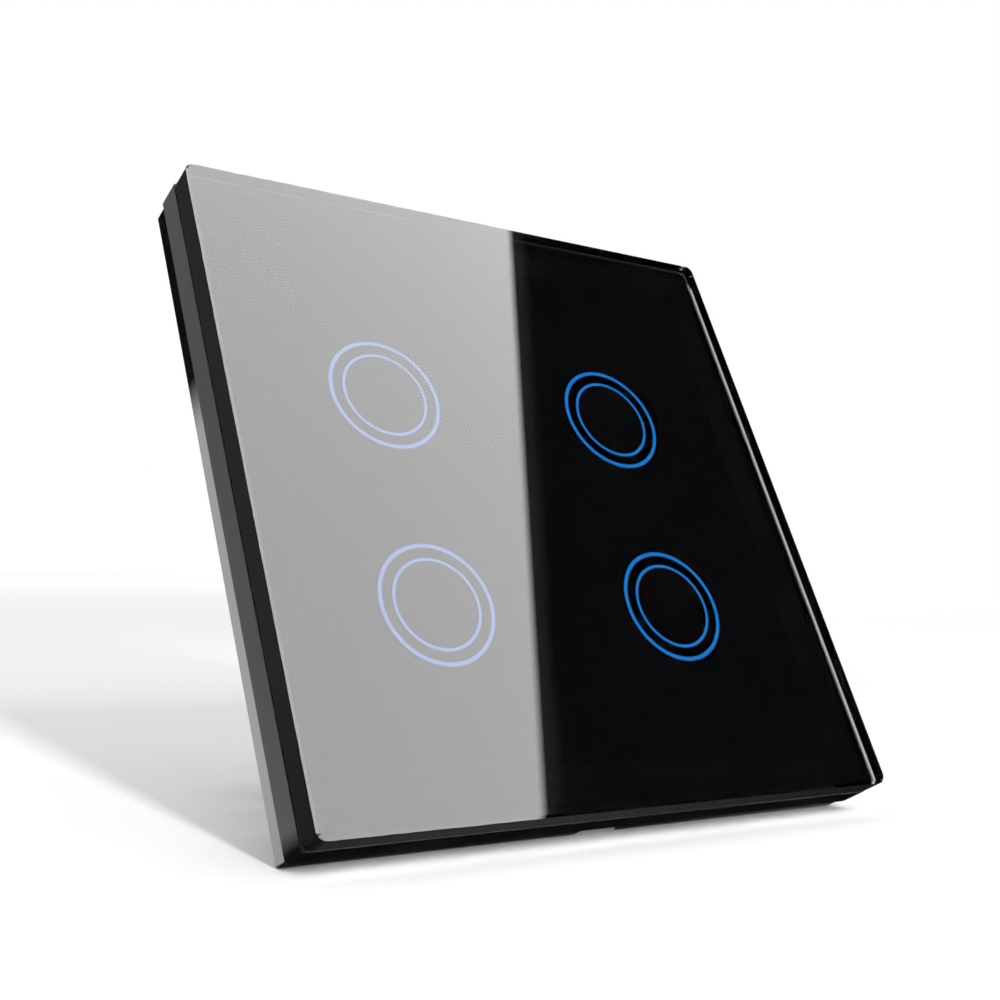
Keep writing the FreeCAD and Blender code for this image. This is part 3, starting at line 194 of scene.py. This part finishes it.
def glass():
    """Clear toughened glass, polished, whose printed back takes what light doesn't pass through it."""
    material, tree, surface = blank("toughened_glass")
    smear = noise(tree, 9, 5.0, (1, 1, 2.5))
    polished = new(tree, "ShaderNodeBsdfPrincipled", IOR=GLASS_IOR, Transmission_Weight=1.0,
                   Base_Color=clouded(tree, smear, (0.955, 0.975, 0.97), (0.97, 0.985, 0.98)),
                   Roughness=ramp(tree, smear, 0.0, 0.0033, (0.45, 0.75)))
    printed = new(tree, "ShaderNodeBsdfRefraction", IOR=GLASS_IOR, Roughness=0.0)
    on_back = past(tree, Y, *PRINTED_BACK)
    link(tree, mix_shaders(tree, on_back, polished.outputs[0], printed.outputs[0]), surface)
    return material


def smoked():
    """A dark printed film that lets a sixth of the light through."""
    material, tree, surface = blank("smoked_print")
    dots = noise(tree, 0.12, 2.0)
    ink = new(tree, "ShaderNodeBsdfPrincipled", Specular_IOR_Level=0.0,
              Base_Color=clouded(tree, dots, (0.0007, 0.0007, 0.0008), (0.0016, 0.0016, 0.0018)),
              Roughness=ramp(tree, dots, 0.35, 0.5))
    clear = tree.nodes.new("ShaderNodeBsdfTransparent")
    link(tree, mix_shaders(tree, INK_COVER, clear.outputs[0], ink.outputs[0]), surface)
    return material


def ring_light(name, dim, bright):
    """Clear acrylic whose two lips glow blue from the lamps behind them."""
    material, tree, surface = blank(name)
    milk = noise(tree, 0.6)
    clear = new(tree, "ShaderNodeBsdfPrincipled", IOR=ACRYLIC_IOR, Transmission_Weight=0.85,
                Base_Color=clouded(tree, milk, (0.62, 0.78, 0.95), (0.75, 0.87, 1.0)),
                Roughness=ramp(tree, milk, 0.25, 0.4))
    glow = new(tree, "ShaderNodeEmission", Strength=RING_GLOW, Color=clouded(tree, milk, dim, bright))
    link(tree, mix_shaders(tree, past(tree, Y, *LIPS), clear.outputs[0], glow.outputs[0]), surface)
    return material


def guides(left):
    """The light guides on one side of the plate."""
    return [name for name in nodes
            if name.startswith("ring_light_guide") and (nodes[name].bound_box[0][X] < 0) == left]


def ledge_gloss(tree):
    """Glossy all over but for the ledge behind the glass, which is matt except at its right side."""
    ledge = blend(tree, past(tree, X, *LEDGE_RIGHT), MATT, GLOSSY, "FLOAT")
    ledge = blend(tree, past(tree, Z, *LEDGE_TOP), ledge, MATT, "FLOAT")
    return blend(tree, past(tree, Y, *FRAME_FRONT), ledge, GLOSSY, "FLOAT")


dress(["glass_panel"], glass())
dress(["smoked_film"], smoked())
# The left guides get a paler copy of the blue glow: painted reflection of the softbox that lies over the left
# of the front
dress(guides(True), ring_light("ring_light_painted_reflection", (0.155, 0.285, 0.68), (0.175, 0.31, 0.75)))
dress(guides(False), ring_light("ring_light", (0.012, 0.28, 0.93), (0.016, 0.32, 1.0)))

# ---------------------------------------------------------------- plastics, metals and ceramics

METAL = {"metallic": 1.0}

# Nodes, material, dark and light colour, roughness, grain, height of the grain, clouds (mm), and the rest
FINISHES = [
    (["glass_tape"], "acrylic_tape", (0.012, 0.012, 0.012), (0.02, 0.02, 0.02),
     (0.6, 0.8), 0.15, 0.02, 6, {}),
    (["panel_frame"], "frame_plastic", (0.006, 0.006, 0.006), (0.009, 0.009, 0.009),
     (0.12, 0.17), 0.2, 0.002, 8, {"rounding_mm": 0.02, "worn": (0.03, 0.03, 0.03), "specular": ledge_gloss}),
    (["ring_masks"], "mask_print", (0.0015, 0.0015, 0.0016), (0.003, 0.003, 0.0032),
     (0.5, 0.65), 0.1, 0.004, 6, {"specular": 0.1}),
    (["mounting_base"], "base_plastic", (0.007, 0.007, 0.0072), (0.011, 0.011, 0.0114),
     (0.12, 0.18), 0.22, 0.003, 8, {"rounding_mm": 0.03, "worn": (0.04, 0.04, 0.04)}),
    (["module_cover"], "shade_plastic", (0.72, 0.72, 0.7), (0.8, 0.8, 0.78),
     (0.45, 0.6), 0.2, 0.01, 7, {}),
    (["rear_housing"], "housing_plastic", (0.03, 0.031, 0.033), (0.045, 0.046, 0.048),
     (0.4, 0.55), 0.28, 0.02, 9, {"worn": (0.12, 0.12, 0.12)}),
    (["relay_cases"], "relay_plastic", (0.02, 0.11, 0.34), (0.03, 0.14, 0.4),
     (0.25, 0.38), 0.2, 0.006, 5, {}),
    (["terminal_block"], "terminal_plastic", (0.02, 0.2, 0.07), (0.03, 0.26, 0.1),
     (0.35, 0.5), 0.2, 0.012, 5, {"worn": (0.12, 0.42, 0.2)}),
    (["film_capacitor"], "film_box", (0.55, 0.36, 0.05), (0.66, 0.44, 0.08),
     (0.3, 0.42), 0.25, 0.006, 3, {}),
    (["touch_chip", "header_pins", "header_socket", "relay_bases", "rectifier"], "chip_epoxy",
     (0.014, 0.014, 0.015), (0.026, 0.026, 0.027), (0.45, 0.65), 0.12, 0.01, 2, {}),
    (["panel_clips", "relay_yokes"] + row("touch_spring", 4) + row("relay_armature", 4), "spring_steel",
     (0.42, 0.42, 0.43), (0.56, 0.56, 0.57), (0.22, 0.36), 0.15, 0.003, 3, {**METAL, "stretch": (1, 1, 6)}),
    (["wifi_shield"], "shield_tin", (0.6, 0.6, 0.58), (0.7, 0.7, 0.68),
     (0.28, 0.42), 0.2, 0.004, 3, {**METAL, "stretch": (4, 1, 1)}),
    (["housing_screws"] + row("terminal_screw", 6), "screw_steel", (0.5, 0.48, 0.44), (0.64, 0.62, 0.58),
     (0.25, 0.4), 0.12, 0.004, 1.5, {**METAL, "rounding_mm": 0.08}),
    (["relay_contacts"] + row("terminal_cage", 6), "brass", (0.62, 0.45, 0.18), (0.72, 0.54, 0.24),
     (0.28, 0.42), 0.15, 0.004, 2, METAL),
    (["terminal_bars"], "tinned_copper", (0.64, 0.62, 0.58), (0.74, 0.72, 0.68),
     (0.3, 0.45), 0.2, 0.005, 2, METAL),
    (["transformer_core"], "ferrite", (0.03, 0.03, 0.032), (0.05, 0.05, 0.052),
     (0.5, 0.7), 0.15, 0.02, 2, {"worn": (0.1, 0.1, 0.1)}),
    (["fuse", "varistor"], "ceramic", (0.08, 0.16, 0.36), (0.11, 0.2, 0.42),
     (0.3, 0.45), 0.3, 0.02, 2, {}),
    (["electrolytic_capacitor"], "capacitor_can", (0.02, 0.02, 0.05), (0.035, 0.035, 0.07),
     (0.25, 0.4), 0.2, 0.006, 3, {}),
]
for names, name, dark, light, rough, grain_mm, grain_height_mm, cloud_mm, more in FINISHES:
    dress(names, finish(name, dark, light, rough, grain_mm, grain_height_mm, cloud_mm, **more))

# ---------------------------------------------------------------- boards, windings and lamps


def board():
    """Solder mask over copper: pale tracks under green, and bare tinned pads."""
    material, tree, surface = blank("circuit_board")
    turned = new(tree, "ShaderNodeMapping", Vector=object_place(tree), Rotation=(math.radians(90), 0, 0))
    tracks = new(tree, "ShaderNodeTexBrick", offset=0.35, squash=0.6, Vector=turned.outputs[0],
                 Scale=1 / (9 * MM), Mortar_Size=0.035, Mortar_Smooth=0.1,
                 Color1=(0, 0, 0), Color2=(0, 0, 0), Mortar=(1, 1, 1)).outputs["Color"]
    pads = new(tree, "ShaderNodeTexVoronoi", Vector=turned.outputs[0], Scale=1 / (4.5 * MM), Randomness=0.35)
    pad = ramp(tree, pads.outputs["Distance"], 1, 0, (0.1, 0.115))
    mask = noise(tree, 5)
    green = clouded(tree, mask, (0.004, 0.075, 0.024), (0.006, 0.095, 0.032))
    lacquer = blend(tree, tracks, green, (0.012, 0.18, 0.06))
    shader = new(tree, "ShaderNodeBsdfPrincipled", Coat_Weight=0.4, Metallic=pad,
                 Base_Color=blend(tree, pad, lacquer, (0.62, 0.6, 0.55)),
                 Roughness=ramp(tree, mask, 0.25, 0.4))
    bumps(tree, shader, [(tracks, 0.035, 0.7), (pad, 0.06, 0.8)])
    link(tree, shader.outputs[0], surface)
    return material


def winding():
    """Enamelled copper wire, laid turn by turn."""
    material, tree, surface = blank("enamelled_wire")
    tone = noise(tree, 1.2)
    shader = new(tree, "ShaderNodeBsdfPrincipled", Metallic=1.0, Roughness=ramp(tree, tone, 0.25, 0.4),
                 Base_Color=clouded(tree, tone, (0.55, 0.2, 0.06), (0.75, 0.3, 0.1)))
    turns = new(tree, "ShaderNodeTexWave", wave_type="BANDS", bands_direction="Y", Scale=1 / (1.9 * MM),
                Vector=object_place(tree))
    bumps(tree, shader, [(turns.outputs["Fac"], 0.08, 0.9)])
    link(tree, shader.outputs[0], surface)
    return material


def lamp():
    """Small white lamp bodies with a blue glow."""
    material, tree, surface = blank("lamp")
    tone = noise(tree, 0.5)
    shader = new(tree, "ShaderNodeBsdfPrincipled", Roughness=ramp(tree, tone, 0.3, 0.5),
                 Emission_Strength=1.5,
                 Base_Color=clouded(tree, tone, (0.7, 0.74, 0.6), (0.85, 0.87, 0.75)),
                 Emission_Color=clouded(tree, tone, (0.02, 0.3, 1.0), (0.05, 0.4, 1.0)))
    link(tree, shader.outputs[0], surface)
    return material


dress(["touch_board", "wifi_module", "power_board"], board())
dress(["relay_coils", "transformer_winding"], winding())
dress(["ring_leds"], lamp())

# ---------------------------------------------------------------- camera

EYE = Vector((-0.108992, -0.128801, -0.074564))
RIGHT = Vector((0.80842, -0.53400, -0.24760))
UP = Vector((-0.05261, -0.48452, 0.87320))
LOOK = Vector((0.58626, 0.69288, 0.41979))
FOCAL_LENGTH = 49.551

scene = bpy.context.scene
scene.view_settings.view_transform = "Standard"
lens = bpy.data.cameras.new("camera")
lens.lens = FOCAL_LENGTH
lens.sensor_width = 36
lens.clip_start = 0.01
camera = bpy.data.objects.new("camera", lens)
camera.matrix_world = Matrix.Translation(EYE) @ Matrix((RIGHT, UP, -LOOK)).transposed().to_4x4()
scene.collection.objects.link(camera)
scene.camera = camera

# ---------------------------------------------------------------- floor

RIM = 42.6 * MM  # from the middle of the plate to the rim's lower edge, which stands on the floor
TILT = math.radians(27.4)
FLOOR_WIDTH = (-3, 3)
FLOOR_ALONG = (-2, 4)
FLOOR_LIFT = 0.345
# Painted light on the floor: extra glow far away and to the right
PAINTED_FAR_LIGHT, FAR = 0.22, (0.45, 1.6)
PAINTED_RIGHT_LIGHT, TO_RIGHT = 0.14, (0.1, 0.16)


def plane(name, corners, material):
    mesh = bpy.data.meshes.new(name)
    mesh.from_pydata([Vector(c) for c in corners], [], [list(range(len(corners)))])
    mesh.materials.append(material)
    made = bpy.data.objects.new(name, mesh)
    scene.collection.objects.link(made)
    return made


def seen_rays(tree):
    """1 for camera, glossy and transmission rays."""
    path = tree.nodes.new("ShaderNodeLightPath").outputs
    first = maths(tree, "MAXIMUM", path["Is Camera Ray"], path["Is Glossy Ray"])
    return maths(tree, "MAXIMUM", first, path["Is Transmission Ray"])


def floor_glow_painted_light_and_shade(tree):
    """The floor's glow: painted contact shade makes it less close to the plate, and painted light makes it
    more far away and to the right.
    """
    # Painted contact shade: ambient occlusion dims the floor's glow near the plate
    painted_contact_shade_mask = new(tree, "ShaderNodeAmbientOcclusion", samples=8, Distance=18 * MM).outputs["AO"]
    seen = seen_rays(tree)
    near = maths(tree, "MULTIPLY", ramp(tree, seen, 0, FLOOR_LIFT, (0, 1)), painted_contact_shade_mask)
    # Painted light: the floor's glow grows far away and to the right
    to_right = maths(tree, "SUBTRACT", place_along(tree, X), place_along(tree, Y))
    paler = maths(tree, "ADD", ramp(tree, place_along(tree, Y), 0, PAINTED_FAR_LIGHT, FAR),
                  ramp(tree, to_right, 0, PAINTED_RIGHT_LIGHT, TO_RIGHT))
    return maths(tree, "MULTIPLY_ADD", seen, paler, near)


def floor_material():
    """White paper, plain from above and clear from below, that keeps the shadow; its glow is painted darker
    near the plate and painted brighter far away and to the right.
    """
    material, tree, surface = blank("floor_paper")
    paper = new(tree, "ShaderNodeBsdfDiffuse", Color=(0.95, 0.95, 0.95))
    floor_glow_and_painted_shade = new(tree, "ShaderNodeEmission", Strength=floor_glow_painted_light_and_shade)
    both = tree.nodes.new("ShaderNodeAddShader")
    link(tree, paper.outputs[0], both.inputs[0])
    link(tree, floor_glow_and_painted_shade.outputs[0], both.inputs[1])
    clear = tree.nodes.new("ShaderNodeBsdfTransparent")
    below = tree.nodes.new("ShaderNodeNewGeometry").outputs["Backfacing"]
    link(tree, mix_shaders(tree, below, both.outputs[0], clear.outputs[0]), surface)
    return material


def on_floor(x, along):
    return Vector((x, along * math.cos(TILT), -RIM + along * math.sin(TILT)))


left, right = FLOOR_WIDTH
near, far = FLOOR_ALONG
plane("floor", [on_floor(left, near), on_floor(right, near), on_floor(right, far), on_floor(left, far)],
      floor_material())

# ---------------------------------------------------------------- cards that only mirrors show

GLASS_FRONT = -10.5 * MM
CARD_Y = -0.6
EDGE_TOP = (6.73 * MM, GLASS_FRONT, 42.47 * MM)  # where the mirrored card's edge meets the plate's edges
EDGE_LOW = (-15.12 * MM, GLASS_FRONT, -42.72 * MM)
SOFT_EDGE = 0.0036
TAIL, TAIL_END = 0.024, 0.019
CARD_LOW, CARD_HIGH, CARD_RISE = 8.5, 7.9, (-0.25, 0.25)
OUTER_LEVEL, OUTER = 10.5, (-0.8, -1.0)


def card_material(name, strength):
    material, tree, surface = blank(name)
    link(tree, new(tree, "ShaderNodeEmission", Strength=strength).outputs[0], surface)
    return material


def card(name, x, y, z, strength, through_glass=False):
    """A flat card in metres, across the axis that has a single number."""
    spans = [span if isinstance(span, tuple) else (span,) for span in (x, y, z)]
    first, second = (span for span in spans if len(span) == 2)
    order = [(first[i], second[j]) for i, j in ((0, 0), (1, 0), (1, 1), (0, 1))]
    corners = []
    for pair in order:
        free = iter(pair)
        corners.append([next(free) if len(span) == 2 else span[0] for span in spans])
    made = plane(name, corners, card_material(name, strength))
    made.visible_camera = False
    made.visible_diffuse = False
    made.visible_transmission = through_glass
    made.visible_volume_scatter = False
    made.visible_shadow = False
    return made


def small_card(name, x, y, z, strength, through_glass=False):
    """A card in mm."""
    spans = [tuple(v * MM for v in span) if isinstance(span, tuple) else span * MM for span in (x, y, z)]
    card(name, *spans, strength, through_glass)


def mirrored(point):
    """Where the line from the eye that the front mirrors at a point meets the card."""
    ray = Vector(point) - EYE
    ray.y = -ray.y
    return Vector(point) + ray * ((CARD_Y - point[1]) / ray.y)


def softbox(tree):
    """Bright up to the soft edge with a faint tail past it, dimmer to the top, brighter far out."""
    across = place_along(tree, X)
    edge = ramp(tree, across, 1, TAIL, (-SOFT_EDGE, SOFT_EDGE))
    tail = ramp(tree, across, 0, TAIL, (SOFT_EDGE, TAIL_END), "SMOOTHSTEP")
    fade = maths(tree, "SUBTRACT", edge, tail)
    lit = maths(tree, "MULTIPLY", fade, ramp(tree, place_along(tree, Z), CARD_LOW, CARD_HIGH, CARD_RISE))
    return blend(tree, ramp(tree, across, 0, 1, OUTER), lit, OUTER_LEVEL, "FLOAT")


def side_bands(tree):
    """What the left side mirrors: dim in the glass, brighter in the frame, a light low in the rim."""
    in_glass = steps(tree, Z, [(-60, 0.19), (0, 0.14)], 40)
    along_frame = steps(tree, Z, [(-60, 0.98), (-36, 0.66), (0, 0.52)], 16)
    in_frame = steps(tree, Z, [(-60, 0.0), (-41.0, along_frame)], 1.0)
    along_rim = steps(tree, Z, [(-60, 3.2), (-15, 2.45)], 28)
    in_rim = steps(tree, Z, [(-60, along_rim), (14.5, 0.0)], 3.3)
    return steps(tree, Y, [(-20, in_glass), (-5.75, in_frame), (-1.45, in_rim)], 0.05)


def low_glass(tree):
    """What the bottom of the glass mirrors, dimmer to the right."""
    return steps(tree, X, [(-60, 0.085), (12, 0.025)], 30)


def low_edge(tree):
    """What the front's lower ground edge mirrors: as bright as the front up to the soft edge, then dark."""
    return steps(tree, X, [(-60, 8.3), (-15.0, 0.0)], 0.6)


def low_rim(tree):
    """What the bottom of the rim mirrors."""
    return steps(tree, X, [(-60, 0.02), (24, 0.1)], 20)


def right_band(tree):
    """A pale strip beside the right edge, seen through the ground rear bevel."""
    level = steps(tree, Y, [(-90, 0.5), (1.0, 0.0)], 0.5)
    return steps(tree, Z, [(-90, level), (42.9, 0.0)], 0.15)


edge_top, edge_low = mirrored(EDGE_TOP), mirrored(EDGE_LOW)
along_edge = (edge_top - edge_low).normalized()
to_dark = Vector((along_edge.z, 0, -along_edge.x))
turned = Matrix((to_dark, Vector((0, 1, 0)), along_edge)).transposed().to_4x4()
front_card = card("front_card", (-3.0, 0.9), 0.0, (-1.5, 1.8), softbox, True)
front_card.matrix_world = Matrix.Translation((edge_top + edge_low) / 2) @ turned

small_card("side_card", -43.3, (-10.3, 2.6), (-50, 50), side_bands)
small_card("low_glass", (-44, 44), (-9.9, -5.8), -43.3, low_glass)
small_card("low_frame", (-43.4, 43.4), (-6.3, -0.8), -43.0, 0.0)
small_card("low_edge", (-44, 44), (-11.6, -10.0), -43.4, low_edge)
small_card("low_rim", (-42.8, 42.8), (-2.45, -0.15), -42.66, low_rim)
small_card("back_flag", (-42, 42), 0.4, (42.8, 47), 0.0, True)
small_card("top_flag", (-42.9, 42.9), (-6.4, 0.4), 43.3, 0.0, True)
small_card("right_card", 44.5, (-7.5, 30), (-48, 70), right_band, True)

# ---------------------------------------------------------------- world and lamp

WORLD_ON_OBJECT, WORLD_SEEN = 0.42, 1.0
KEY_PLACE = Vector((-0.18, -1.40, -0.36))
KEY_POWER = 32.0
KEY_WIDTH, KEY_HEIGHT = 0.12, 1.2

world = bpy.data.worlds.new("studio")
world.use_nodes = True
scene.world = world
sky = world.node_tree
sky.nodes.clear()
shine = new(sky, "ShaderNodeBackground", Color=(1, 1, 1),
            Strength=ramp(sky, seen_rays(sky), WORLD_ON_OBJECT, WORLD_SEEN, (0, 1)))
link(sky, shine.outputs[0], sky.nodes.new("ShaderNodeOutputWorld").inputs["Surface"])

key = bpy.data.lights.new("key", "AREA")
key.energy = KEY_POWER
key.shape = "RECTANGLE"
key.size = KEY_WIDTH
key.size_y = KEY_HEIGHT
key_lamp = bpy.data.objects.new("key", key)
key_lamp.location = KEY_PLACE
key_lamp.rotation_euler = (-KEY_PLACE).to_track_quat("-Z", "Y").to_euler()
key_lamp.visible_glossy = False
key_lamp.visible_transmission = False
scene.collection.objects.link(key_lamp)
